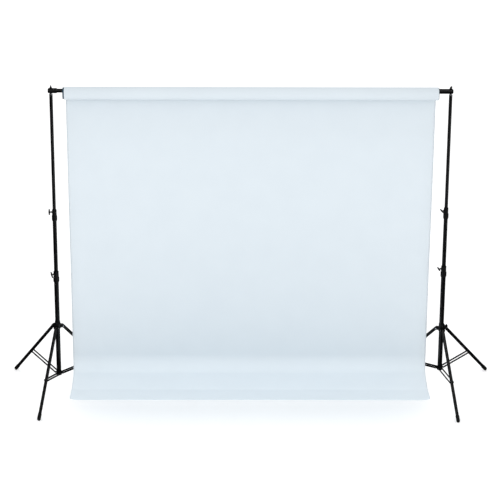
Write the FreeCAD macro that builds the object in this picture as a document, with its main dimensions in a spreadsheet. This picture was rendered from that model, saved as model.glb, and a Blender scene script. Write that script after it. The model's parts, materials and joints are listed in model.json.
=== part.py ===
"""A background support: two telescopic stands, a telescopic crossbar and a roll of paper.

Frame: +Z is up and +X runs along the crossbar. The floor is Z = 0, and the origin is the
middle of the ground that the feet and the sheet's edge cover. All lengths are in millimetres.
"""
import FreeCAD, Part
import math
import os
import re

from FreeCAD import Placement, Rotation, Vector

X_AXIS = Vector(1, 0, 0)
Y_AXIS = Vector(0, 1, 0)
Z_AXIS = Vector(0, 0, 1)
UP = Rotation()
ALONG_X = Rotation(Y_AXIS, 90)
ALONG_Y = Rotation(X_AXIS, -90)

SIZES = [
    # whole set
    ("post_spacing", 2890, "from one stand's axis to the other"),
    ("crossbar_height", 2437, "floor to the crossbar's axis"),
    # stand, columns
    ("lower_diameter", 35, "lowest column tube"),
    ("lower_wall", 1.5, ""),
    ("lower_length", 818, ""),
    ("mid_diameter", 30, "middle column tube"),
    ("mid_wall", 1.2, ""),
    ("mid_length", 800, ""),
    ("top_diameter", 25, "top column tube"),
    ("top_wall", 1.2, ""),
    ("top_length", 1050, ""),
    ("running_gap", 0.1, "radial gap of a sliding tube in its collar"),
    ("seat_gap", 0.02, "radial gap of a tube in the fitting that is glued on it"),
    ("bush_height", 12, "guide ring at a tube's lower end"),
    ("bush_gap", 0.05, "radial gap of a guide ring"),
    ("top_bush_wall", 3, ""),
    # collars between the column tubes
    ("collar_body", 46, "height of the wide part, below the tube's end"),
    ("collar_neck", 40, "height of the split neck, above the tube's end"),
    ("collar_taper", 8, "height of each tapered end of the wide part"),
    ("collar_lip", 5, "lower end of the wide part over the tube's diameter"),
    ("lower_collar_diameter", 45, ""),
    ("lower_neck_diameter", 39, ""),
    ("upper_collar_diameter", 40, ""),
    ("upper_neck_diameter", 34, ""),
    ("boss_diameter", 16, "boss for a clamping screw"),
    ("boss_reach", 4, "how far a boss stands out of its neck"),
    ("split_width", 2.5, "slit in the neck, so that it can close on the tube"),
    ("screw_diameter", 6, "clamping screw, M6"),
    ("screw_gap", 0.05, "radial gap of a screw or pin that turns"),
    ("face_gap", 0.3, "gap between two faces that move on each other"),
    ("screw_height", 22, "screw's axis above the tube's end"),
    ("drill_margin", 1, "how far a drilled hole runs past a face"),
    # T-shaped knobs
    ("knob_hub_diameter", 10, ""),
    ("knob_hub_length", 16, "up to the bar's axis"),
    ("knob_bar_length", 50, "tip to tip"),
    ("knob_bar_root", 14, "diameter beside the hub"),
    ("knob_bar_tip", 9, "diameter at the tips"),
    # leg yoke
    ("yoke_diameter", 44, ""),
    ("yoke_height", 34, "of the part with the cheeks"),
    ("yoke_neck_diameter", 41, ""),
    ("yoke_neck_height", 24, ""),
    ("leg_pivot_radius", 40, "column axis to a leg's pivot"),
    ("cheek_start", 18, "column axis to a cheek's inner end"),
    ("cheek_thickness", 4, ""),
    ("cheek_height", 18, ""),
    # spreader
    ("spreader_diameter", 41, ""),
    ("spreader_above", 14, "height above the struts' pivots"),
    ("spreader_below", 14, "height below them, with a closed bottom"),
    ("column_below", 11, "lower tube below the struts' pivots"),
    ("strut_pivot_radius", 26, "column axis to a strut's pivot"),
    ("lug_start", 18, "column axis to a lug's inner end"),
    ("lug_height", 11, ""),
    # legs, struts and feet
    ("leg_diameter", 24, ""),
    ("leg_wall", 1.2, ""),
    ("leg_length", 703.1, "pivot to the middle of the foot's ball"),
    ("leg_joint", 406, "leg's pivot to its joint with the strut"),
    ("strut_length", 291.4, "between the strut's two joints"),
    ("strut_width", 13, ""),
    ("strut_thickness", 3, "of each of the two flat bars"),
    ("foot_diameter", 28, ""),
    ("foot_length", 40, ""),
    ("foot_flat", 1, "how much the floor face takes off the ball"),
    ("rivet_diameter", 5, "at the legs' upper pivots"),
    ("rivet_head_diameter", 9, ""),
    ("rivet_head_height", 1.7, ""),
    ("pin_diameter", 4, "at the struts' pivots"),
    ("pin_head_diameter", 8, ""),
    # top of a stand
    ("spigot_diameter", 16, ""),
    ("spigot_height", 12, "tube's top to the crossbar's underside"),
    ("spigot_plug", 30, "length inside the tube"),
    ("spigot_rim_height", 3, "rim that sits on the tube's end"),
    ("spigot_flange_diameter", 20, "flange under the crossbar"),
    ("spigot_flange_height", 2, ""),
    ("stud_diameter", 8, "threaded stud through the crossbar, M8"),
    ("stud_hole_diameter", 8.4, ""),
    ("stud_above", 20, "stud above the crossbar"),
    ("nut_washer_diameter", 22, "washer face of the wing nut"),
    ("nut_washer_height", 1.6, ""),
    ("nut_height", 11, ""),
    ("nut_root_diameter", 17, ""),
    ("nut_top_diameter", 12, ""),
    ("wing_diameter", 15, ""),
    ("wing_thickness", 3.2, ""),
    ("wing_reach", 12, "nut's axis to the middle of a wing"),
    ("wing_rise", 11, "crossbar's top to the middle of a wing"),
    ("wing_root_width", 9, "web that joins a wing to the nut"),
    ("wing_root_rise", 2, "the web's lower edge at the nut's axis"),
    # crossbar, from the thinnest section to the thickest
    ("left_overhang", 22, "crossbar's left end beyond the stand's axis"),
    ("right_overhang", 18, "crossbar's right end beyond the stand's axis"),
    ("bar_step", 2.6, "each section's diameter over the one before"),
    ("bar_first_diameter", 28, "the thinnest section"),
    ("bar_wall", 1.2, ""),
    ("bar_section_length", 790, "each section but the last"),
    ("bar_overlap", 120, "length of each section inside the next"),
    ("bar_end_length", 6, "tapered end outside the first or last section"),
    ("bar_end_taper", 10, "how much smaller the tapered end gets"),
    ("bar_plug_length", 6, "cap's plug inside the last section"),
    ("sleeve_diameter", 37, "end sleeve on the thinnest section"),
    ("sleeve_length", 65, ""),
    ("button_diameter", 6, "spring buttons that lock the sections"),
    ("button_length", 7.6, ""),
    ("button_inside", 4, "button's inner end inside the thinner section's wall"),
    # paper
    ("core_inner", 76, "inside of the card tube"),
    ("core_wall", 4, ""),
    ("core_length", 2720, ""),
    ("roll_diameter", 94, "over the wound paper"),
    ("roll_length", 2708, ""),
    ("roll_inset", 10, "bare core at the left end"),
    ("sheet_width", 2685, ""),
    ("sheet_thickness", 1.2, ""),
    ("sheet_knee_height", 1250, "down to here it leans forwards, to the posts' plane"),
    ("sheet_low", 197.5, "height of the sheet's level stretch"),
    ("sheet_curl_radius", 110, "of the quarter turn from upright to level"),
    ("sheet_level", 240, "length of the level stretch"),
    ("sheet_bend_radius", 200, "of the bend from level up to the lip"),
    ("sheet_lip_angle", 12, "how steep the lip rises"),
    ("sheet_lip_length", 257, "from the bend to the sheet's edge"),
]

# Each stand is set up by hand, so the two differ a little: the heights of the leg yoke and of
# the upper collar, the turn of the legs, a knob's azimuth and its turn about its screw.
STANDS = {
    "left": {"side": -1, "yoke": 546.5, "upper": 1459.4, "turn": 14.4,
             "upper_knob": (182, 0), "lower_knob": (219, 25), "yoke_knob": 70},
    "right": {"side": 1, "yoke": 529.3, "upper": 1479.9, "turn": 11.8,
              "upper_knob": (215, 70), "lower_knob": (198, 80), "yoke_knob": 40},
}
LEGS = ("front", "rear", "inner")
# degrees between two legs, and from the front leg to the yoke's boss
LEG_PITCH = 120
BOSS_TURN = 60
# how far a wing's web leans out from upright
WEB_LEAN = 38
# where the wing nuts came to rest
NUT_TURNS = {"left": 90, "right": 60}
# the crossbar's sections count from 0, the thinnest
LAST_SECTION = 3
# the crossbar's joints that a spring button locks; the last one slides
BUTTON_JOINTS = (0, 1)

os.makedirs("parts", exist_ok=True)
doc = FreeCAD.newDocument("background_support")
sheet = doc.addObject("Spreadsheet::Sheet", "Sizes")
for row, (alias, number, note) in enumerate(SIZES, start=1):
    sheet.set(f"A{row}", alias)
    sheet.set(f"B{row}", str(number))
    sheet.set(f"C{row}", note)
    sheet.setAlias(f"B{row}", alias)
doc.recompute()

nodes = []


def value(alias):
    """Return the number in the cell with this alias."""
    return float(sheet.get(alias))


def bind(piece, prop, size):
    """Tie a property to the sheet; words in the text are cell aliases."""
    piece.setExpression(prop, re.sub(r"[a-z]\w+", r"Sizes.\g<0>", str(size)))


def place(piece, at=(0, 0, 0), turned=UP):
    """Put a piece at three lengths, each a number or a text for the sheet."""
    piece.Placement = Placement(Vector(0, 0, 0), turned)
    for letter, size in zip("xyz", at):
        bind(piece, f"Placement.Base.{letter}", size)
    return piece


def new(kind, name):
    """Add an object whose name is free."""
    return doc.addObject(kind, name)


def cylinder(diameter, length, at=(0, 0, 0), turned=UP):
    """A cylinder that stands on its place, along its own Z."""
    piece = new("Part::Cylinder", "cylinder")
    bind(piece, "Radius", f"({diameter}) / 2")
    bind(piece, "Height", length)
    return place(piece, at, turned)


def cone(start, end, length, at=(0, 0, 0), turned=UP):
    """A cone given by its two diameters."""
    piece = new("Part::Cone", "cone")
    bind(piece, "Radius1", f"({start}) / 2")
    bind(piece, "Radius2", f"({end}) / 2")
    bind(piece, "Height", length)
    return place(piece, at, turned)


def ball(diameter, at=(0, 0, 0)):
    """A ball about its place."""
    piece = new("Part::Sphere", "ball")
    bind(piece, "Radius", f"({diameter}) / 2")
    return place(piece, at)


def block(length, width, height, at=(0, 0, 0), turned=UP):
    """A box that starts at its place."""
    piece = new("Part::Box", "block")
    bind(piece, "Length", length)
    bind(piece, "Width", width)
    bind(piece, "Height", height)
    return place(piece, at, turned)


def join(*pieces):
    """Several pieces as one."""
    fused = new("Part::MultiFuse", "join")
    fused.Shapes = list(pieces)
    fused.Refine = True
    return fused


def group(*pieces):
    """Several pieces side by side, or one piece that gets a place of its own."""
    together = new("Part::Compound", "group")
    together.Links = list(pieces)
    return together


def cut(base, *tools):
    """A base less one or more tools."""
    result = new("Part::Cut", "cut")
    result.Base = base
    result.Tool = tools[0] if len(tools) == 1 else join(*tools)
    return result


def node(piece, label, where):
    """Name a finished sub-part and put it in its place."""
    piece.Label = label
    piece.Placement = where
    nodes.append(piece)
    return piece


def tube(diameter, wall, length, at=(0, 0, 0), turned=UP):
    """An open tube."""
    outside = cylinder(diameter, length, at, turned)
    inside = cylinder(f"{diameter} - 2 * ({wall})", length, at, turned)
    return cut(outside, inside)


# ---------------------------------------------------------------- columns

def collar(diameter, neck, outer_tube, inner_tube):
    """The clamp between two column tubes; its zero is the outer tube's end."""
    wide = f"({outer_tube} + collar_lip)"
    body = "collar_body - 2 * collar_taper"
    reach = f"{neck} / 2 + boss_reach"
    solid = join(
        cone(wide, diameter, "collar_taper", (0, 0, "-collar_body")),
        cylinder(diameter, body, (0, 0, "-collar_body + collar_taper")),
        cone(diameter, neck, "collar_taper", (0, 0, "-collar_taper")),
        cylinder(neck, "collar_neck"),
        cylinder("boss_diameter", reach, (0, 0, "screw_height"), ALONG_X),
    )
    return cut(
        solid,
        cylinder(f"{outer_tube} + 2 * seat_gap", "collar_body", (0, 0, "-collar_body")),
        cylinder(f"{inner_tube} + 2 * running_gap", "2 * collar_neck", (0, 0, "-collar_neck")),
        cylinder("screw_diameter + 2 * screw_gap", f"{reach} + drill_margin",
                 (0, 0, "screw_height"), ALONG_X),
        block(neck, "split_width", "collar_neck", (f"-{neck}", "-split_width / 2", "collar_taper")),
    )


def knob(neck, inner_tube):
    """A T-shaped clamping knob along +X, with its screw's tip at the tube."""
    tip = f"({inner_tube} / 2 + face_gap)"
    start = f"({neck} / 2 + boss_reach + face_gap)"
    middle = f"{start} + knob_hub_length"
    half = "(knob_bar_length - knob_bar_tip) / 2"
    return join(
        cylinder("screw_diameter", f"{start} - {tip} + drill_margin", (tip, 0, 0), ALONG_X),
        cylinder("knob_hub_diameter", "knob_hub_length", (start, 0, 0), ALONG_X),
        cone("knob_bar_root", "knob_bar_tip", half, (middle, 0, 0), UP),
        cone("knob_bar_root", "knob_bar_tip", half, (middle, 0, 0), Rotation(X_AXIS, 180)),
        ball("knob_bar_tip", (middle, 0, half)),
        ball("knob_bar_tip", (middle, 0, f"-{half}")),
    )


# ---------------------------------------------------------------- legs

def leg_yoke():
    """The slider that carries the three legs; its zero is the pivots' height."""
    inside = "leg_diameter / 2 + face_gap"
    neck_reach = "yoke_neck_diameter / 2 + boss_reach"
    screw_at = "yoke_height / 2 + yoke_neck_height / 2"
    pieces = [
        cylinder("yoke_diameter", "yoke_height", (0, 0, "-yoke_height / 2")),
        cylinder("yoke_neck_diameter", "yoke_neck_height", (0, 0, "yoke_height / 2")),
        cylinder("boss_diameter", neck_reach, (0, 0, screw_at), turned_about_z(BOSS_TURN) * ALONG_X),
    ]
    holes = [
        cylinder("lower_diameter + 2 * running_gap", "3 * yoke_height", (0, 0, "-yoke_height")),
        cylinder("screw_diameter + 2 * screw_gap", "yoke_diameter", (0, 0, screw_at),
                 turned_about_z(BOSS_TURN) * ALONG_X),
    ]
    for index in range(len(LEGS)):
        azimuth = LEG_PITCH * index
        for side in (1, -1):
            start = f"{side} * ({inside})" if side > 0 else f"-({inside} + cheek_thickness)"
            cheek = join(
                block("leg_pivot_radius - cheek_start", "cheek_thickness", "cheek_height",
                      ("cheek_start", start, "-cheek_height / 2")),
                cylinder("cheek_height", "cheek_thickness", ("leg_pivot_radius", start, 0), ALONG_Y),
            )
            cheek.Placement = Placement(Vector(0, 0, 0), turned_about_z(azimuth))
            pieces.append(cheek)
        hole = group(cylinder("rivet_diameter", "2 * yoke_diameter",
                              ("leg_pivot_radius", "-yoke_diameter", 0), ALONG_Y))
        hole.Placement = Placement(Vector(0, 0, 0), turned_about_z(azimuth))
        holes.append(hole)
    return cut(join(*pieces), *holes)


def turned_about_z(degrees):
    """A turn about the upright axis."""
    return Rotation(Z_AXIS, degrees)


def spreader():
    """The cup at the foot of the column that carries the three struts."""
    pieces = [cylinder("spreader_diameter", "spreader_above + spreader_below",
                       (0, 0, "-spreader_below"))]
    holes = [cylinder("lower_diameter + 2 * seat_gap", "column_below + spreader_above",
                      (0, 0, "-column_below"))]
    for index in range(len(LEGS)):
        lug = join(
            block("strut_pivot_radius - lug_start", "leg_diameter", "lug_height",
                  ("lug_start", "-leg_diameter / 2", "-lug_height / 2")),
            cylinder("lug_height", "leg_diameter",
                     ("strut_pivot_radius", "-leg_diameter / 2", 0), ALONG_Y),
        )
        lug.Placement = Placement(Vector(0, 0, 0), turned_about_z(LEG_PITCH * index))
        pieces.append(lug)
        hole = group(cylinder("pin_diameter", "leg_diameter",
                              ("strut_pivot_radius", "-leg_diameter / 2", 0), ALONG_Y))
        hole.Placement = Placement(Vector(0, 0, 0), turned_about_z(LEG_PITCH * index))
        holes.append(hole)
    return cut(join(*pieces), *holes)


def rivets(radius, diameter, head, half_grip):
    """Three rivets, one across each pivot."""
    pieces = []
    for index in range(len(LEGS)):
        rivet = join(
            cylinder(diameter, f"2 * ({half_grip})", (radius, f"-({half_grip})", 0), ALONG_Y),
            cylinder(head, "rivet_head_height", (radius, half_grip, 0), ALONG_Y),
            cylinder(head, "rivet_head_height",
                     (radius, f"-({half_grip}) - rivet_head_height", 0), ALONG_Y),
        )
        rivet.Placement = Placement(Vector(0, 0, 0), turned_about_z(LEG_PITCH * index))
        pieces.append(rivet)
    return group(*pieces)


def leg():
    """A leg tube that hangs from its pivot, with a rounded upper end."""
    end = "(leg_length - foot_length / 4)"
    solid = join(
        cylinder("leg_diameter", end, (0, 0, f"-{end}")),
        ball("leg_diameter"),
    )
    return cut(
        solid,
        cylinder("leg_diameter - 2 * leg_wall", f"{end} - leg_diameter", (0, 0, f"-{end}")),
        cylinder("rivet_diameter + 2 * screw_gap", "leg_diameter", (0, "-leg_diameter / 2", 0), ALONG_Y),
    )


def foot(tilt):
    """A rubber cap with a ball end, moulded flat where it stands on the floor."""
    end = "(leg_length - foot_length / 4)"
    drop = "(foot_diameter / 2 - foot_flat)"
    solid = join(
        cylinder("foot_diameter", "foot_length", (0, 0, "-leg_length")),
        ball("foot_diameter", (0, 0, "-leg_length")),
    )
    floor = group(block("3 * foot_diameter", "3 * foot_diameter", "foot_diameter",
                        ("-1.5 * foot_diameter", "-1.5 * foot_diameter", f"-{drop} - foot_diameter")))
    floor.Placement = Placement(Vector(0, 0, -value("leg_length")), Rotation(Y_AXIS, tilt))
    return cut(solid, cylinder("leg_diameter", end, (0, 0, f"-{end}")), floor)


def strut():
    """Two flat bars that stand up from the spreader, one on each side of the leg."""
    bars = []
    for side in (1, -1):
        inner = "(leg_diameter / 2 + face_gap)"
        start = inner if side > 0 else f"-{inner} - strut_thickness"
        head = f"{inner} + strut_thickness" if side > 0 else f"{start} - rivet_head_height"
        bar = join(
            block("strut_width", "strut_thickness", "strut_length", ("-strut_width / 2", start, 0)),
            cylinder("strut_width", "strut_thickness", (0, start, 0), ALONG_Y),
            cylinder("strut_width", "strut_thickness", (0, start, "strut_length"), ALONG_Y),
            cylinder("pin_head_diameter", "rivet_head_height", (0, head, "strut_length"), ALONG_Y),
        )
        eye = cylinder("pin_diameter + 2 * screw_gap", "strut_thickness", (0, start, 0), ALONG_Y)
        bars.append(cut(bar, eye))
    return group(*bars)


# ---------------------------------------------------------------- top of a stand

def spigot(bar_diameter):
    """The steel spigot and stud; its zero is the top of the tube."""
    return join(
        cylinder("top_diameter - 2 * top_wall", "spigot_plug", (0, 0, "-spigot_plug")),
        cylinder("top_diameter", "spigot_rim_height"),
        cylinder("spigot_diameter", "spigot_height - spigot_flange_height"),
        cylinder("spigot_flange_diameter", "spigot_flange_height",
                 (0, 0, "spigot_height - spigot_flange_height")),
        cylinder("stud_diameter", f"spigot_height + {bar_diameter} + stud_above"),
    )


def wing_nut():
    """The nut on the stud; its zero is the top of the crossbar."""
    pieces = [
        cylinder("nut_washer_diameter", "nut_washer_height", (0, 0, "face_gap")),
        cone("nut_root_diameter", "nut_top_diameter", "nut_height", (0, 0, "nut_washer_height")),
    ]
    for half_turn in (0, 180):
        wing = join(
            cylinder("wing_diameter", "wing_thickness",
                     ("wing_reach", "-wing_thickness / 2", "wing_rise"), ALONG_Y),
            block("wing_reach", "wing_thickness", "wing_root_width",
                  (0, "-wing_thickness / 2", "wing_root_rise"), Rotation(Y_AXIS, -WEB_LEAN)),
        )
        wing.Placement = Placement(Vector(0, 0, 0), turned_about_z(half_turn))
        pieces.append(wing)
    bore = cylinder("stud_diameter + 2 * screw_gap", "3 * nut_height", (0, 0, "-nut_height"))
    return cut(join(*pieces), bore)


# ---------------------------------------------------------------- where things stand

def strut_angle(reach):
    """A strut's angle from upright when its joint is this far from the column."""
    return math.asin((reach - value("strut_pivot_radius")) / value("strut_length"))


def stand_layout(setup):
    """Work out one stand's angles and heights, in radians and millimetres."""
    ball_height = value("foot_diameter") / 2 - value("foot_flat")
    drop = setup["yoke"] - ball_height
    leg_angle = math.acos(drop / value("leg_length"))
    joint = value("leg_joint")
    joint_reach = value("leg_pivot_radius") + joint * math.sin(leg_angle)
    joint_height = setup["yoke"] - joint * math.cos(leg_angle)
    lean = strut_angle(joint_reach)
    spreader_height = joint_height - value("strut_length") * math.cos(lean)
    foot_reach = value("leg_pivot_radius") + value("leg_length") * math.sin(leg_angle)
    azimuths = {}
    for index, name in enumerate(LEGS):
        # a leg's direction turns from straight forwards (-Y) towards the outside
        turn = math.radians(setup["turn"] + LEG_PITCH * index)
        azimuths[name] = math.degrees(math.atan2(-math.cos(turn), setup["side"] * math.sin(turn)))
    return {"leg": math.degrees(leg_angle), "strut": math.degrees(lean),
            "spreader": spreader_height, "foot_reach": foot_reach, "azimuths": azimuths}


layouts = {name: stand_layout(setup) for name, setup in STANDS.items()}


def lip_reach():
    """How far in front of the posts the sheet's edge is."""
    angle = math.radians(value("sheet_lip_angle"))
    bend = value("sheet_bend_radius") + value("sheet_thickness") / 2
    return (value("sheet_curl_radius") + value("sheet_level") + bend * math.sin(angle)
            + value("sheet_lip_length") * math.cos(angle))


def ground_middle():
    """The middle of the ground that the set covers, from the middle of the posts."""
    xs = []
    ys = [-lip_reach()]
    for name, setup in STANDS.items():
        layout = layouts[name]
        for azimuth in layout["azimuths"].values():
            angle = math.radians(azimuth)
            post = setup["side"] * value("post_spacing") / 2
            xs.append(post + layout["foot_reach"] * math.cos(angle))
            ys.append(layout["foot_reach"] * math.sin(angle))
    # a foot reaches half its ball further
    ys = [min(ys), max(ys) + value("foot_diameter") / 2]
    return (min(xs) + max(xs)) / 2, (min(ys) + max(ys)) / 2


MIDDLE_X, MIDDLE_Y = ground_middle()
POST_Y = -MIDDLE_Y
BAR_Z = value("crossbar_height")


def on_stand(name, height, azimuth=0, radius=0, tilt=0, roll=0):
    """A placement on a stand: up its axis, outwards at an azimuth, then tilted."""
    post = STANDS[name]["side"] * value("post_spacing") / 2 - MIDDLE_X
    where = Placement(Vector(post, POST_Y, height), turned_about_z(azimuth))
    out = Placement(Vector(radius, 0, 0), Rotation(Y_AXIS, tilt) * Rotation(X_AXIS, roll))
    return where * out


def build_stand(name):
    """Make every sub-part of one stand."""
    setup = STANDS[name]
    layout = layouts[name]
    base = layout["spreader"]
    bottom = base - value("column_below")
    lower_top = bottom + value("lower_length")
    bar_diameter, bar_half = {
        "left": ("sleeve_diameter", value("sleeve_diameter") / 2),
        "right": (f"(bar_first_diameter + {LAST_SECTION} * bar_step)", bar_end_radius()),
    }[name]
    top_end = BAR_Z - bar_half - value("spigot_height")
    top_bottom = top_end - value("top_length")
    mid_bottom = setup["upper"] - value("mid_length")
    first = layout["azimuths"]["front"]

    node(tube("lower_diameter", "lower_wall", "lower_length"), f"{name}_lower_tube", on_stand(name, bottom))
    node(tube("mid_diameter", "mid_wall", "mid_length"), f"{name}_mid_tube", on_stand(name, mid_bottom))
    node(tube("top_diameter", "top_wall", "top_length"), f"{name}_top_tube", on_stand(name, top_bottom))
    mid_ring = "lower_diameter - 2 * lower_wall - 2 * bush_gap"
    top_ring = "mid_diameter - 2 * mid_wall - 2 * bush_gap"
    mid_bush = tube(mid_ring, "(lower_diameter - mid_diameter) / 2 - lower_wall + mid_wall - bush_gap",
                    "bush_height", (0, 0, "-bush_height"))
    node(mid_bush, f"{name}_mid_bush", on_stand(name, mid_bottom))
    top_bush = tube(top_ring, "top_bush_wall", "bush_height", (0, 0, "-bush_height"))
    node(top_bush, f"{name}_top_bush", on_stand(name, top_bottom))

    for level, height in (("lower", lower_top), ("upper", setup["upper"])):
        azimuth, roll = setup[f"{level}_knob"]
        outer, inner = {"lower": ("lower_diameter", "mid_diameter"),
                        "upper": ("mid_diameter", "top_diameter")}[level]
        neck = f"{level}_neck_diameter"
        clamp = collar(f"{level}_collar_diameter", neck, outer, inner)
        node(clamp, f"{name}_{level}_collar", on_stand(name, height, azimuth))
        where = on_stand(name, height + value("screw_height"), azimuth, roll=roll)
        node(knob(neck, inner), f"{name}_{level}_knob", where)

    node(leg_yoke(), f"{name}_leg_yoke", on_stand(name, setup["yoke"], first))
    screw_up = (value("yoke_height") + value("yoke_neck_height")) / 2
    where = on_stand(name, setup["yoke"] + screw_up, first + BOSS_TURN, roll=setup["yoke_knob"])
    node(knob("yoke_neck_diameter", "lower_diameter"), f"{name}_yoke_knob", where)
    cheek_outside = "leg_diameter / 2 + face_gap + cheek_thickness"
    node(rivets("leg_pivot_radius", "rivet_diameter", "rivet_head_diameter", cheek_outside),
         f"{name}_yoke_rivets", on_stand(name, setup["yoke"], first))

    node(spreader(), f"{name}_spreader", on_stand(name, base, first))
    bar_outside = "leg_diameter / 2 + 2 * face_gap + strut_thickness"
    node(rivets("strut_pivot_radius", "pin_diameter", "pin_head_diameter", bar_outside),
         f"{name}_spreader_rivets", on_stand(name, base, first))

    for which, azimuth in layout["azimuths"].items():
        at_leg = on_stand(name, setup["yoke"], azimuth, value("leg_pivot_radius"), -layout["leg"])
        node(leg(), f"{name}_{which}_leg", at_leg)
        node(foot(layout["leg"]), f"{name}_{which}_foot", at_leg)
        at_strut = on_stand(name, base, azimuth, value("strut_pivot_radius"), layout["strut"])
        node(strut(), f"{name}_{which}_strut", at_strut)

    node(spigot(bar_diameter), f"{name}_spigot", on_stand(name, top_end))
    node(wing_nut(), f"{name}_wing_nut", on_stand(name, BAR_Z + bar_half, NUT_TURNS[name]))


# ---------------------------------------------------------------- crossbar

def bar_hole(at_x):
    """The upright hole for a stand's stud, in crossbar coordinates."""
    return cylinder("stud_hole_diameter", "2 * sleeve_diameter", (at_x, 0, "-sleeve_diameter"))


def bar_end_radius():
    """The thickest section's radius."""
    return (value("bar_first_diameter") + LAST_SECTION * value("bar_step")) / 2


def section_start(index):
    """Where a section's left end lies, in crossbar coordinates."""
    pitch = "(bar_section_length - bar_overlap)"
    return f"-left_overhang + bar_end_length + {index} * {pitch}"


def button_at(joint):
    """The middle of the overlap between a section and the next one."""
    return f"{section_start(joint + 1)} + bar_overlap / 2"


def build_crossbar():
    """Make the crossbar; its zero is the left stand's axis."""
    where = on_stand("left", BAR_Z)
    last = f"(bar_first_diameter + {LAST_SECTION} * bar_step)"
    for index in range(LAST_SECTION + 1):
        start = section_start(index)
        length = "bar_section_length"
        if index == LAST_SECTION:
            length = f"post_spacing + right_overhang - bar_end_length - ({start})"
        section = tube(f"(bar_first_diameter + {index} * bar_step)", "bar_wall", length,
                       (start, 0, 0), ALONG_X)
        holes = [cylinder("button_diameter + 2 * screw_gap", "sleeve_diameter", (button_at(joint), 0, 0))
                 for joint in (index - 1, index) if joint in BUTTON_JOINTS]
        if index == 0:
            holes.append(bar_hole(0))
        if index == LAST_SECTION:
            holes.append(bar_hole("post_spacing"))
        node(cut(section, *holes), f"bar_section_{index + 1}", where)

    sleeve = join(
        cylinder("sleeve_diameter", "sleeve_length - bar_end_length",
                 ("-left_overhang + bar_end_length", 0, 0), ALONG_X),
        cone("sleeve_diameter - bar_end_taper", "sleeve_diameter", "bar_end_length",
             ("-left_overhang", 0, 0), ALONG_X),
    )
    inside = cylinder("bar_first_diameter + 2 * seat_gap", "sleeve_length",
                      ("-left_overhang + bar_end_length", 0, 0), ALONG_X)
    node(cut(sleeve, inside, bar_hole(0)), "bar_end_sleeve", where)

    end = "post_spacing + right_overhang - bar_end_length"
    cap = join(
        cone(last, f"{last} - bar_end_taper", "bar_end_length", (end, 0, 0), ALONG_X),
        cylinder(f"{last} - 2 * bar_wall - 2 * seat_gap", "bar_plug_length",
                 (f"{end} - bar_plug_length", 0, 0), ALONG_X),
    )
    node(cap, "bar_end_cap", where)

    buttons = []
    for joint in BUTTON_JOINTS:
        foot_at = f"(bar_first_diameter + {joint} * bar_step) / 2 - bar_wall - button_inside"
        buttons.append(cylinder("button_diameter", "button_length", (button_at(joint), 0, foot_at)))
    node(group(*buttons), "bar_buttons", where)


# ---------------------------------------------------------------- paper

def build_paper():
    """Make the card core, the wound paper and the sheet that hangs from its back."""
    hang = value("core_inner") / 2 - bar_end_radius() - value("face_gap")
    roll_z = BAR_Z - hang
    outer = "core_inner + 2 * core_wall"
    for label, diameter, wall, length, inset in (
        ("paper_core", outer, "core_wall", "core_length", 0),
        ("paper_roll", "roll_diameter", "(roll_diameter - core_inner) / 2 - core_wall - seat_gap",
         "roll_length", value("roll_inset")),
    ):
        piece = tube(diameter, wall, length, turned=ALONG_X)
        start = inset - value("core_length") / 2 - MIDDLE_X
        node(piece, label, Placement(Vector(start, POST_Y, roll_z), UP))

    sheet_piece = doc.addObject("Part::Feature", "paper_sheet")
    sheet_piece.Shape = sheet_shape(roll_z)
    start = -value("sheet_width") / 2 - MIDDLE_X
    node(sheet_piece, "paper_sheet", Placement(Vector(start, POST_Y, 0), UP))


def sheet_shape(roll_z):
    """The hanging sheet: it leans to the posts' plane, hangs, curls level and rises to its lip."""
    half = value("sheet_thickness") / 2
    curl = value("sheet_curl_radius")
    bend = value("sheet_bend_radius")
    lip_angle = math.radians(value("sheet_lip_angle"))
    low = value("sheet_low") + half
    back = value("roll_diameter") / 2 + value("face_gap") + half

    def layer(offset):
        """Points down one face: two on the lean, three on each curl and one at the edge."""
        points = [Vector(0, back + offset, roll_z), Vector(0, offset, value("sheet_knee_height"))]
        for turned in (0, math.pi / 4, math.pi / 2):
            reach = curl + offset
            points.append(Vector(0, reach * math.cos(turned) - curl,
                                 low + curl - reach * math.sin(turned)))
        for turned in (0, lip_angle / 2, lip_angle):
            reach = bend + offset
            points.append(Vector(0, -curl - value("sheet_level") - reach * math.sin(turned),
                                 low + bend - reach * math.cos(turned)))
        rise = Vector(0, -math.cos(lip_angle), math.sin(lip_angle))
        points.append(points[-1] + rise * value("sheet_lip_length"))
        return points

    edges = []
    behind = layer(half)
    before = layer(-half)
    for points in (behind, before):
        for start in (0, 1, 4, 7):
            edges.append(Part.LineSegment(points[start], points[start + 1]).toShape())
        for start in (2, 5):
            edges.append(Part.Arc(*points[start:start + 3]).toShape())
    for end in (0, -1):
        edges.append(Part.LineSegment(behind[end], before[end]).toShape())
    lean = math.hypot(back, roll_z - value("sheet_knee_height"))
    hang = value("sheet_knee_height") - low - curl
    lip = value("sheet_level") + bend * lip_angle + value("sheet_lip_length")
    print("sheet length", round(lean + hang + curl * math.pi / 2 + lip, 1))
    outline = Part.Wire(Part.__sortEdges__(edges))
    return Part.Face(outline).extrude(X_AXIS * value("sheet_width"))


for stand_name in STANDS:
    build_stand(stand_name)
build_crossbar()
build_paper()
doc.recompute()

failed = [item.Label for item in doc.Objects if {"Invalid", "Error"} & set(item.State)]
failed += [item.Label for item in nodes if item.Shape.isNull() or not item.Shape.isValid()]
if failed:
    raise RuntimeError(f"failed objects: {failed}")
for item in nodes:
    item.Shape.exportStep(f"parts/{item.Label}.step")
print(len(nodes), "sub-parts written")
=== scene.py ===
"""The looks of the background support: camera, light, materials and the paper."""
import bpy
import json
import math
from mathutils import Matrix, Vector


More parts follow.
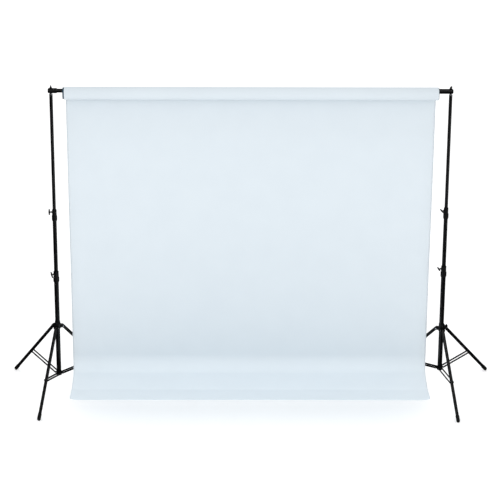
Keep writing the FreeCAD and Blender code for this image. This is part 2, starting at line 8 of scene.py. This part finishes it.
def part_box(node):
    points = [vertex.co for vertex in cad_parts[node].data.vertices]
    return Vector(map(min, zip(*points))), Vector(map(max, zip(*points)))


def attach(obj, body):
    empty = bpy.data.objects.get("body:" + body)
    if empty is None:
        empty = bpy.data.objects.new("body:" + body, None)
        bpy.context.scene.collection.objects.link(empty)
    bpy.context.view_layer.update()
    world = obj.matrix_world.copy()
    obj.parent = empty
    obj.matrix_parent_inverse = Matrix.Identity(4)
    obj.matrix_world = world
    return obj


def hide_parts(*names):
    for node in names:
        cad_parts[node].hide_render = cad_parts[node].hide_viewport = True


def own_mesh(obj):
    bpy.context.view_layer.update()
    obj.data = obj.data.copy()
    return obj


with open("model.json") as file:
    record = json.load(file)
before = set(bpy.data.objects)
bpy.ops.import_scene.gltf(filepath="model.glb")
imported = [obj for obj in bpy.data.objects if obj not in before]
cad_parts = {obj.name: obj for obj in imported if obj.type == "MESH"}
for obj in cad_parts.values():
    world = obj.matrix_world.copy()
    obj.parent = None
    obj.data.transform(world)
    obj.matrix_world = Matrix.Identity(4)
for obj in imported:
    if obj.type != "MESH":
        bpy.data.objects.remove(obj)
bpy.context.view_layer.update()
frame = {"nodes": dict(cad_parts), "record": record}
NODES = frame["nodes"]

# ---------------------------------------------------------------- places from the frame


def middle(node):
    """The middle of a CAD node's box."""
    low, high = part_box(node)
    return (Vector(low) + Vector(high)) / 2


ROLL_LOW, ROLL_HIGH = (Vector(corner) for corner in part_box("paper_roll"))
CORE_LOW, CORE_HIGH = (Vector(corner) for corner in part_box("paper_core"))
SHEET_LOW, SHEET_HIGH = (Vector(corner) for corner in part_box("paper_sheet"))
ROLL_CENTRE = middle("paper_roll")
ROLL_RADIUS = (ROLL_HIGH.z - ROLL_LOW.z) / 2
CORE_RADIUS = (CORE_HIGH.z - CORE_LOW.z) / 2
POSTS_MIDDLE = (middle("left_lower_tube") + middle("right_lower_tube")) / 2

# ---------------------------------------------------------------- materials


class Shader:
    """A node material under construction."""

    def __init__(self, name):
        self.material = bpy.data.materials.new(name)
        self.material.use_nodes = True
        self.tree = self.material.node_tree
        self.surface = self.tree.nodes["Principled BSDF"]
        coordinates = self.tree.nodes.new("ShaderNodeTexCoord")
        self.place = coordinates.outputs["Object"]

    def set(self, **values):
        """Set numbers on the shader's own sockets."""
        for name, number in values.items():
            self.surface.inputs[name.replace("_", " ")].default_value = number

    def stretched(self, scale):
        """The object's coordinates, scaled differently along each axis."""
        mapping = self.tree.nodes.new("ShaderNodeMapping")
        mapping.inputs["Scale"].default_value = scale
        self.tree.links.new(self.place, mapping.inputs["Vector"])
        return mapping.outputs["Vector"]

    def noise(self, scale, detail=4.0, vector=None):
        """Soft noise at a scale in cycles per metre."""
        texture = self.tree.nodes.new("ShaderNodeTexNoise")
        texture.inputs["Scale"].default_value = scale
        texture.inputs["Detail"].default_value = detail
        self.tree.links.new(vector or self.place, texture.inputs["Vector"])
        return texture.outputs["Fac"]

    def spread(self, value, low, high, start=0.3, end=0.7):
        """A value turned into a range of numbers."""
        node = self.tree.nodes.new("ShaderNodeMapRange")
        node.inputs["From Min"].default_value = start
        node.inputs["From Max"].default_value = end
        node.inputs["To Min"].default_value = low
        node.inputs["To Max"].default_value = high
        self.tree.links.new(value, node.inputs["Value"])
        return node.outputs["Result"]

    def tint(self, value, dark, light):
        """A value turned into a colour between two colours."""
        node = self.tree.nodes.new("ShaderNodeMix")
        node.data_type = "RGBA"
        node.inputs["A"].default_value = (*dark, 1)
        node.inputs["B"].default_value = (*light, 1)
        self.tree.links.new(value, node.inputs["Factor"])
        return node.outputs["Result"]

    def add(self, first, second, share=0.5):
        """Two values added, the second one times a share."""
        node = self.tree.nodes.new("ShaderNodeMath")
        node.operation = "MULTIPLY_ADD"
        node.inputs[1].default_value = share
        self.tree.links.new(second, node.inputs[0])
        self.tree.links.new(first, node.inputs[2])
        return node.outputs["Value"]

    def colour(self, output):
        self.tree.links.new(output, self.surface.inputs["Base Color"])

    def roughness(self, output):
        self.tree.links.new(output, self.surface.inputs["Roughness"])

    def bump(self, height, distance, strength=1.0):
        """Relief from a value, of a depth in metres."""
        node = self.tree.nodes.new("ShaderNodeBump")
        node.inputs["Distance"].default_value = distance
        node.inputs["Strength"].default_value = strength
        self.tree.links.new(height, node.inputs["Height"])
        self.tree.links.new(node.outputs["Normal"], self.surface.inputs["Normal"])


def tube_coat():
    """Satin black coat on drawn tube: faint lines along it and small scuffs."""
    shader = Shader("black_tube_coat")
    lines = shader.noise(60, 3, shader.stretched((14, 14, 0.6)))
    scuffs = shader.noise(35, 6)
    shader.colour(shader.tint(shader.spread(scuffs, 0, 1, 0.45, 0.8), (0.0012, 0.0013, 0.0018),
                              (0.0045, 0.0047, 0.0058)))
    shader.roughness(shader.spread(shader.add(lines, scuffs, 0.6), 0.24, 0.40, 0.5, 1.1))
    shader.bump(lines, 0.00006, 0.4)
    shader.set(Specular_IOR_Level=0.28, Coat_Weight=0.08, Coat_Roughness=0.18)
    return shader.material


def strut_coat():
    """Black powder coat on flat steel bar, a little orange-peeled."""
    shader = Shader("black_strut_coat")
    peel = shader.noise(900, 3)
    wear = shader.noise(50, 6)
    shader.colour(shader.tint(shader.spread(wear, 0, 1, 0.5, 0.85), (0.0014, 0.0015, 0.0020),
                              (0.008, 0.008, 0.009)))
    shader.roughness(shader.spread(wear, 0.30, 0.48))
    shader.bump(peel, 0.00008, 0.5)
    shader.set(Specular_IOR_Level=0.32)
    return shader.material


def casting_plastic():
    """Glass-filled black plastic with a fine moulded grain."""
    shader = Shader("black_casting_plastic")
    grain = shader.noise(2600, 2)
    clouds = shader.noise(28, 4)
    shader.colour(shader.tint(shader.spread(clouds, 0, 1), (0.0016, 0.0017, 0.0022),
                              (0.0042, 0.0044, 0.0052)))
    shader.roughness(shader.spread(clouds, 0.42, 0.58))
    shader.bump(grain, 0.00012, 0.5)
    shader.set(Specular_IOR_Level=0.3)
    return shader.material


def knob_plastic():
    """Smoother black plastic, polished by fingers."""
    shader = Shader("black_knob_plastic")
    grain = shader.noise(1800, 2)
    polish = shader.noise(90, 4)
    shader.colour(shader.tint(shader.spread(polish, 0, 1), (0.0014, 0.0014, 0.0019),
                              (0.0042, 0.0042, 0.0050)))
    shader.roughness(shader.spread(polish, 0.26, 0.44))
    shader.bump(grain, 0.00006, 0.4)
    shader.set(Specular_IOR_Level=0.35)
    return shader.material


def nut_metal():
    """Black-oxide metal, with brighter worn spots."""
    shader = Shader("black_nut_metal")
    wear = shader.noise(240, 5)
    shader.colour(shader.tint(shader.spread(wear, 0, 1, 0.5, 0.8), (0.02, 0.021, 0.024),
                              (0.10, 0.10, 0.105)))
    shader.roughness(shader.spread(wear, 0.28, 0.5))
    shader.bump(wear, 0.00008, 0.4)
    shader.set(Metallic=0.85)
    return shader.material


def bright_steel():
    """Plated steel, brushed round its axis."""
    shader = Shader("bright_steel")
    rings = shader.noise(300, 2, shader.stretched((1, 1, 9)))
    clouds = shader.noise(120, 4)
    shader.colour(shader.tint(shader.spread(clouds, 0, 1), (0.46, 0.47, 0.49), (0.68, 0.69, 0.71)))
    shader.roughness(shader.spread(shader.add(rings, clouds), 0.22, 0.42, 0.4, 1.1))
    shader.bump(rings, 0.00006, 0.5)
    shader.set(Metallic=1.0)
    return shader.material


def foot_rubber():
    """Matte black rubber with dusty patches."""
    shader = Shader("foot_rubber")
    grain = shader.noise(1400, 3)
    dust = shader.noise(80, 5)
    shader.colour(shader.tint(shader.spread(dust, 0, 1, 0.45, 0.8), (0.0025, 0.0025, 0.0028),
                              (0.013, 0.013, 0.0125)))
    shader.roughness(shader.spread(dust, 0.62, 0.85))
    shader.bump(grain, 0.0002, 0.5)
    shader.set(Specular_IOR_Level=0.25)
    return shader.material


def painted_shade_core_card():
    """Wound card with a spiral seam and fibres, tinted dark teal as painted shade for the shadowed hollow
    at the roll's end.
    """
    shader = Shader("painted_shade_core_card")
    wave = shader.tree.nodes.new("ShaderNodeTexWave")
    wave.bands_direction = "DIAGONAL"
    wave.inputs["Scale"].default_value = 2.2
    wave.inputs["Distortion"].default_value = 0.4
    shader.tree.links.new(shader.place, wave.inputs["Vector"])
    fibres = shader.noise(700, 5, shader.stretched((0.3, 1, 1)))
    mixed = shader.add(fibres, wave.outputs["Fac"], 0.25)
    # painted shade: this dark teal stands for the shadow inside the roll's hollow end, not the card's own
    # colour
    shader.colour(shader.tint(shader.spread(mixed, 0, 1, 0.35, 0.95), (0.010, 0.042, 0.070),
                              (0.022, 0.080, 0.125)))
    shader.roughness(shader.spread(fibres, 0.75, 0.95))
    shader.bump(mixed, 0.0003, 0.5)
    return shader.material


def seamless_paper():
    """Smooth uncoated paper: faint clouds of pulp, fine fibres and a slight ripple."""
    shader = Shader("blue_white_paper")
    clouds = shader.noise(5.5, 3)
    fibres = shader.noise(1500, 6, shader.stretched((0.45, 1, 1)))
    flecks = shader.noise(420, 4)
    shader.colour(shader.tint(shader.spread(shader.add(clouds, flecks, 0.2), 0, 1, 0.4, 0.8),
                              PAPER_DARK, PAPER_LIGHT))
    shader.roughness(shader.spread(flecks, 0.72, 0.9))
    shader.bump(shader.add(fibres, flecks, 0.6), 0.00012, 0.35)
    shader.set(Specular_IOR_Level=0.22)
    return shader.material


PAPER_DARK = (0.640, 0.703, 0.750)
PAPER_LIGHT = (0.652, 0.715, 0.761)

MATERIALS = {
    "black_tube": tube_coat(),
    "black_strut": strut_coat(),
    "black_casting": casting_plastic(),
    "black_knob": knob_plastic(),
    "black_nut": nut_metal(),
    "steel": bright_steel(),
    "rubber_foot": foot_rubber(),
    "card_core": painted_shade_core_card(),
    "blue_white_paper": seamless_paper(),
}


def dress_cad_nodes():
    """Give every CAD node the material of its slot."""
    for row in frame["record"]["subparts"]:
        mesh = NODES[row["node"]].data
        mesh.materials.clear()
        mesh.materials.append(MATERIALS[row["material_slot"]])


# ---------------------------------------------------------------- building pieces


def piece_from(name, points, faces, slot, body, smooth=True):
    """A mesh piece with a slot's material that rides on a body."""
    mesh = bpy.data.meshes.new(name)
    mesh.from_pydata([tuple(point) for point in points], [], faces)
    mesh.update()
    made = bpy.data.objects.new(name, mesh)
    bpy.context.scene.collection.objects.link(made)
    mesh.materials.append(MATERIALS[slot])
    if smooth:
        mesh.polygons.foreach_set("use_smooth", [True] * len(mesh.polygons))
    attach(made, body)
    return made


def grid_faces(rows, columns, closed=False):
    """Quads between rows of points; closed joins the last column to the first."""
    faces = []
    last = columns if closed else columns - 1
    for row in range(rows - 1):
        for column in range(last):
            beside = (column + 1) % columns
            faces.append((row * columns + column, row * columns + beside,
                          (row + 1) * columns + beside, (row + 1) * columns + column))
    return faces


# ---------------------------------------------------------------- the hanging sheet

SHEET_THICKNESS = 0.0004
# how many turns the roll makes to wind the sheet in
# the sheet leans from the roll's back to the posts' plane, hangs, curls level, then bends up to its lip
WRAP_ANGLE = math.radians(24)
LEAN_POWER = 1.4
KNEE_HEIGHT = 1.25
LOW_HEIGHT = 0.1981
CURL_RADIUS = 0.11
LEVEL_LENGTH = 0.24
BEND_RADIUS = 0.2
LIP_ANGLE = math.radians(12)
LIP_LENGTH = 0.257
# a strip of each side edge cups backwards, which draws the edge inwards too
CUP_WIDTH = 0.09
CUP_INWARDS = 0.0075
CUP_BACKWARDS = 0.012
# the cup grows over the first share of the sheet's length, and doubles from the curl on
HANG_SHARE = 0.5
CURL_SHARE = 0.75
LIE_SHARE = 0.08
# long shallow waves, calm near the roll and near the floor
RIPPLE_DEPTH = 0.0022
RIPPLE_CALM_BELOW_ROLL = 1.6
RIPPLE_CALM_ABOVE_FLOOR = 0.6


def arc(centre, radius, start, end, steps):
    """(y, z) points on an arc, from a start angle up to but without its end."""
    angles = (start + (end - start) * step / steps for step in range(steps))
    return [(centre[0] + radius * math.cos(angle), centre[1] + radius * math.sin(angle))
            for angle in angles]


def straight(start, end, steps):
    """(y, z) points on a straight line, without its end."""
    along, up = end[0] - start[0], end[1] - start[1]
    return [(start[0] + along * step / steps, start[1] + up * step / steps) for step in range(steps)]


def sheet_profile():
    """(y, z) of the sheet's line, from the roll to the edge of its lip."""
    back = SHEET_HIGH.y - POSTS_MIDDLE.y
    top = ROLL_CENTRE.z
    line = arc((0, top), back, WRAP_ANGLE, 0, 8)
    for share, z in straight((1, top), (0, KNEE_HEIGHT), 48):
        line.append((back * share ** LEAN_POWER, z))
    curl_top = LOW_HEIGHT + CURL_RADIUS
    line += straight((0, KNEE_HEIGHT), (0, curl_top), 36)
    line += arc((-CURL_RADIUS, curl_top), CURL_RADIUS, 0, -math.pi / 2, 24)
    level_end = -CURL_RADIUS - LEVEL_LENGTH
    line += straight((-CURL_RADIUS, LOW_HEIGHT), (level_end, LOW_HEIGHT), 8)
    down = -math.pi / 2
    line += arc((level_end, LOW_HEIGHT + BEND_RADIUS), BEND_RADIUS, down, down - LIP_ANGLE, 8)
    lip = (level_end - BEND_RADIUS * math.sin(LIP_ANGLE),
           LOW_HEIGHT + BEND_RADIUS * (1 - math.cos(LIP_ANGLE)))
    edge = (lip[0] - LIP_LENGTH * math.cos(LIP_ANGLE), lip[1] + LIP_LENGTH * math.sin(LIP_ANGLE))
    line += straight(lip, edge, 10)
    line.append(edge)
    return line


def cup(across, share):
    """How far a side edge has cupped at a share of the sheet's length; the roll holds it flat."""
    half_width = (SHEET_HIGH.x - SHEET_LOW.x) / 2
    edge = max(0.0, 1 - (half_width - abs(across)) / CUP_WIDTH)
    hanging = min(1.0, share / HANG_SHARE)
    lying = min(1.0, max(0.0, (share - CURL_SHARE) / LIE_SHARE))
    return edge ** 2 * (hanging + lying)


def ripple(across, height):
    """How far the paper stands off its plane, in metres."""
    below = min(1.0, max(0.0, (ROLL_CENTRE.z - height) / RIPPLE_CALM_BELOW_ROLL))
    above = min(1.0, height / RIPPLE_CALM_ABOVE_FLOOR)
    long_wave = math.sin(across * 2.3 + 0.7) * 0.6 + math.sin(across * 4.1 + height * 0.9 + 2.0) * 0.4
    return RIPPLE_DEPTH * below * above * long_wave


def build_sheet():
    """The sheet, from its tangent on the roll to the edge of the lip that it curls forwards to."""
    line = sheet_profile()
    columns = 180
    centre = (SHEET_LOW.x + SHEET_HIGH.x) / 2
    steps = [math.dist(line[index], line[index + 1]) for index in range(len(line) - 1)]
    length = sum(steps)
    points = []
    for index, (y, z) in enumerate(line):
        share = sum(steps[:index]) / length
        for column in range(columns):
            across = (SHEET_HIGH.x - SHEET_LOW.x) * (column / (columns - 1) - 0.5)
            cupped = cup(across, share)
            inwards = math.copysign(CUP_INWARDS * cupped, -across)
            back = ripple(across, z) + CUP_BACKWARDS * cupped
            points.append((centre + across + inwards, POSTS_MIDDLE.y + y + back, z))
    faces = grid_faces(len(line), columns)
    made = piece_from("hanging_sheet", points, faces, "blue_white_paper", "crossbar")
    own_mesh(made)
    solid = made.modifiers.new("thickness", "SOLIDIFY")
    solid.thickness = SHEET_THICKNESS
    solid.offset = 0
    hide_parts("paper_sheet")
    return made


# ---------------------------------------------------------------- the wound roll


def ring_points(x, radius, steps):
    """A ring of points about the roll's axis."""
    return [(x, ROLL_CENTRE.y + radius * math.cos(turn), ROLL_CENTRE.z + radius * math.sin(turn))
            for turn in (math.tau * step / steps for step in range(steps))]


def build_roll():
    """The wound paper: a long barrel whose two ends show its layers, a little telescoped."""
    steps = 96
    wraps = 9
    telescoping = 0.0012
    inner = CORE_RADIUS + 0.0001
    depth = (ROLL_RADIUS - inner) / wraps
    profile = []
    for wrap in range(wraps):
        start = inner + depth * wrap
        recess = telescoping * math.sin(wrap * 2.4) + 0.0014
        profile.append((recess + 0.0006, start))
        profile.append((recess, start + depth * 0.25))
        profile.append((recess, start + depth * 0.85))
    profile.append((0.0012, ROLL_RADIUS - 0.0006))
    profile.append((0.0020, ROLL_RADIUS))
    left = [(ROLL_LOW.x + recess, radius) for recess, radius in profile]
    right = [(ROLL_HIGH.x - recess, radius) for recess, radius in reversed(profile)]
    barrel = [(ROLL_LOW.x + (ROLL_HIGH.x - ROLL_LOW.x) * share, ROLL_RADIUS)
              for share in (0.25, 0.5, 0.75)]
    rings = left + barrel + right
    points = []
    for x, radius in rings:
        points += ring_points(x, radius, steps)
    faces = grid_faces(len(rings), steps, closed=True)
    last = len(rings) - 1
    faces += [(last * steps + step, last * steps + (step + 1) % steps, (step + 1) % steps, step)
              for step in range(steps)]
    made = piece_from("wound_roll", points, faces, "blue_white_paper", "roll")
    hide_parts("paper_roll")
    return made


# ---------------------------------------------------------------- stage, light and camera

WORLD_STRENGTH = 1.04
WORLD_IN_GLOSS = 0.03
FLOOR_GLOW = 0.3
FRONT_POWER = 95
# the overhead light is linked to the sheet alone
OVERHEAD_POWER = 310
# each gloss panel: its place, what it aims at, its size and its power
GLOSS_PANELS = {
    "right_panel": ((3.9, -1.2, 0.8), (1.43, 0.08, 0.8), (2.2, 1.0), 16),
    "left_panel": ((-0.1, -2.2, 0.8), (-1.46, 0.08, 0.8), (1.6, 1.0), 9),
    "top_panel": ((0, -3.2, 6.5), (0, 0, 1.4), (7, 1.2), 120),
}

CAMERA_SIDE = -0.1785
CAMERA_BACK = 17.0993
CAMERA_HEIGHT = 8.94
CAMERA_PITCH = 0.4262
CAMERA_YAW = 0.0104
CAMERA_ROLL = 0.0057
CAMERA_LENS = 182.02
SENSOR_WIDTH = 36.0


def build_camera():
    """A long lens in front of the set, looking down on it."""
    data = bpy.data.cameras.new("camera")
    data.sensor_width = SENSOR_WIDTH
    data.lens = CAMERA_LENS
    data.clip_end = 200
    camera = bpy.data.objects.new("camera", data)
    bpy.context.scene.collection.objects.link(camera)
    ahead = Vector((math.sin(CAMERA_YAW) * math.cos(CAMERA_PITCH),
                    math.cos(CAMERA_YAW) * math.cos(CAMERA_PITCH), -math.sin(CAMERA_PITCH)))
    level = Vector((math.cos(CAMERA_YAW), -math.sin(CAMERA_YAW), 0))
    above = level.cross(ahead)
    right = level * math.cos(CAMERA_ROLL) + above * math.sin(CAMERA_ROLL)
    up = above * math.cos(CAMERA_ROLL) - level * math.sin(CAMERA_ROLL)
    turn = Matrix((right, up, -ahead)).transposed().to_4x4()
    spot = Vector((POSTS_MIDDLE.x + CAMERA_SIDE, POSTS_MIDDLE.y - CAMERA_BACK, CAMERA_HEIGHT))
    camera.matrix_world = Matrix.Translation(spot) @ turn
    bpy.context.scene.camera = camera


def build_floor():
    """A wide pale studio floor that glows faintly, so shadows on it stay light."""
    shader = Shader("studio_floor")
    clouds = shader.noise(0.8, 3)
    shader.colour(shader.tint(clouds, (0.835, 0.835, 0.838), (0.85, 0.85, 0.85)))
    shader.roughness(shader.spread(clouds, 0.75, 0.9))
    shader.set(Specular_IOR_Level=0.1, Emission_Color=(1, 1, 1, 1), Emission_Strength=FLOOR_GLOW)
    mesh = bpy.data.meshes.new("studio_floor")
    reach = 60
    mesh.from_pydata([(-reach, -reach, 0), (reach, -reach, 0), (reach, reach, 0), (-reach, reach, 0)], [],
                     [(0, 1, 2, 3)])
    mesh.materials.append(shader.material)
    floor = bpy.data.objects.new("studio_floor", mesh)
    bpy.context.scene.collection.objects.link(floor)
    floor.visible_glossy = False


def area_light(name, spot, aim, size, power, only_gloss=False):
    """A rectangular soft light aimed at a point, for matte shading or only for gloss."""
    data = bpy.data.lights.new(name, "AREA")
    data.shape = "RECTANGLE"
    data.size, data.size_y = size
    data.energy = power
    light = bpy.data.objects.new(name, data)
    bpy.context.scene.collection.objects.link(light)
    light.location = spot
    light.rotation_mode = "QUATERNION"
    light.rotation_quaternion = (Vector(aim) - Vector(spot)).to_track_quat("-Z", "Y")
    light.visible_camera = False
    light.visible_diffuse = not only_gloss
    light.visible_glossy = only_gloss
    return light


def build_light():
    """A white dome that reflections see dimmed, two soft lights, and panels that only give gloss."""
    world = bpy.data.worlds.new("studio")
    world.use_nodes = True
    tree = world.node_tree
    sky = tree.nodes["Background"]
    sky.inputs["Color"].default_value = (1, 1, 1, 1)
    rays = tree.nodes.new("ShaderNodeLightPath")
    strength = tree.nodes.new("ShaderNodeMapRange")
    strength.inputs["To Min"].default_value = WORLD_STRENGTH
    strength.inputs["To Max"].default_value = WORLD_IN_GLOSS
    tree.links.new(rays.outputs["Is Glossy Ray"], strength.inputs["Value"])
    tree.links.new(strength.outputs["Result"], sky.inputs["Strength"])
    bpy.context.scene.world = world
    area_light("front", (-1.0, -8, 6.5), (0, 0, 1.2), (6, 4), FRONT_POWER)
    overhead = area_light("overhead", (0, -1.2, 13), (0, -0.2, 0.2), (6, 3), OVERHEAD_POWER)
    lit = bpy.data.collections.new("lit_by_overhead")
    lit.objects.link(bpy.data.objects["hanging_sheet"])
    overhead.light_linking.receiver_collection = lit
    for name, (spot, aim, size, power) in GLOSS_PANELS.items():
        area_light(name, spot, aim, size, power, only_gloss=True)
    bpy.context.scene.view_settings.view_transform = "Standard"


dress_cad_nodes()
build_sheet()
build_roll()
build_camera()
build_floor()
build_light()
